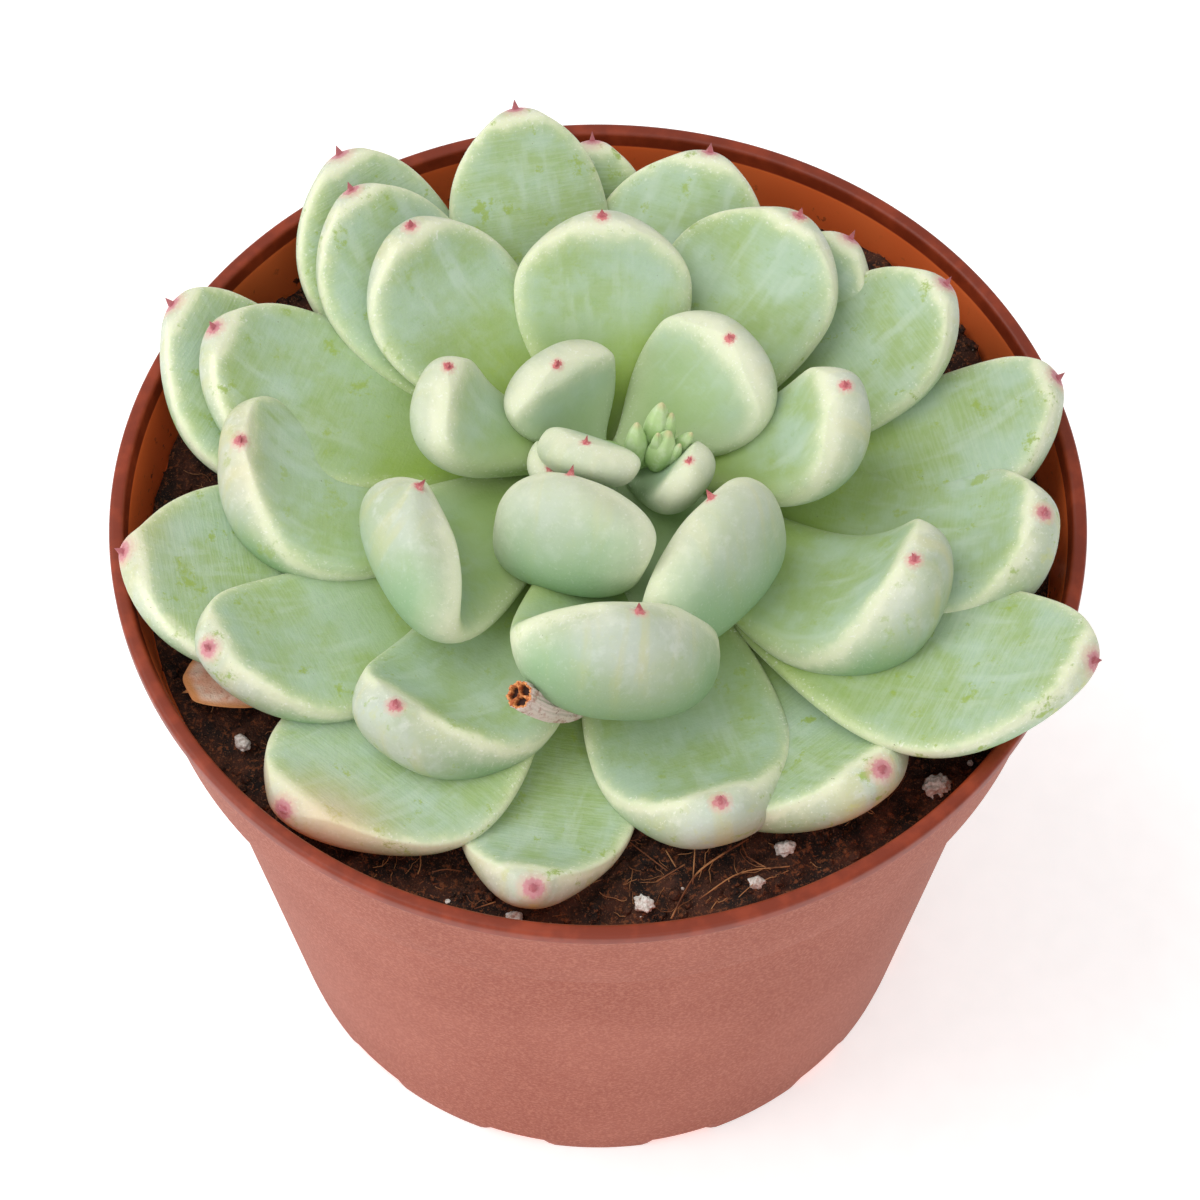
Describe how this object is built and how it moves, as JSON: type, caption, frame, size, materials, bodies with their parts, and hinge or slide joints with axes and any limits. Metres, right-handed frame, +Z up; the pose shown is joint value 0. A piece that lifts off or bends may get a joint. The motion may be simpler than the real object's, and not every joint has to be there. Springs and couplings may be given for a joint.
{
  "type": "potted succulent",
  "caption": "Rosette succulent with thick, upturned, pointed grey-green leaves, growing in soil in a round tapered terracotta-coloured plastic pot.",
  "frame": {"origin": "centre of the pot's base, on the surface it stands on", "axes": "+Z up, out of the pot; -Y is the front that the picture shows; +X to the right"},
  "size_m": [0.12, 0.12, 0.1104],
  "materials": {
    "pot": "terracotta-coloured plastic, satin lip, finely grained collar",
    "soil": "dark loose peat with coir fibres",
    "stem": "pale green, matte",
    "cut_stalk": "dry pinkish-grey skin with a brown cut end",
    "buds": "young green, matte",
    "leaf": "waxy bloom over mint green, cream margins, rose point",
    "withered": "dry, salmon pink",
    "perlite": "white, rough"
  },
  "bodies": {
    "root": {"pot": "pot", "soil": "soil", "stem": "stem", "old_flower_stalk": "cut_stalk", "flower_buds": "buds", "withered_leaf": "withered", "leaf_01": "leaf", "leaf_02": "leaf", "leaf_03": "leaf", "leaf_04": "leaf", "leaf_05": "leaf", "leaf_06": "leaf", "leaf_07": "leaf", "leaf_08": "leaf", "leaf_09": "leaf", "leaf_10": "leaf", "leaf_11": "leaf", "leaf_12": "leaf", "leaf_13": "leaf", "leaf_14": "leaf", "leaf_15": "leaf", "leaf_16": "leaf", "leaf_17": "leaf", "leaf_18": "leaf", "leaf_19": "leaf", "leaf_20": "leaf", "leaf_21": "leaf", "leaf_22": "leaf", "leaf_23": "leaf", "leaf_24": "leaf", "leaf_25": "leaf", "leaf_26": "leaf", "leaf_27": "leaf", "leaf_28": "leaf", "leaf_29": "leaf", "leaf_30": "leaf", "leaf_31": "leaf", "leaf_32": "leaf", "leaf_33": "leaf", "leaf_34": "leaf", "leaf_35": "leaf", "perlite_01": "perlite", "perlite_02": "perlite", "perlite_03": "perlite", "perlite_04": "perlite", "perlite_05": "perlite", "perlite_06": "perlite", "perlite_07": "perlite", "perlite_08": "perlite"}
  },
  "joints": []
}
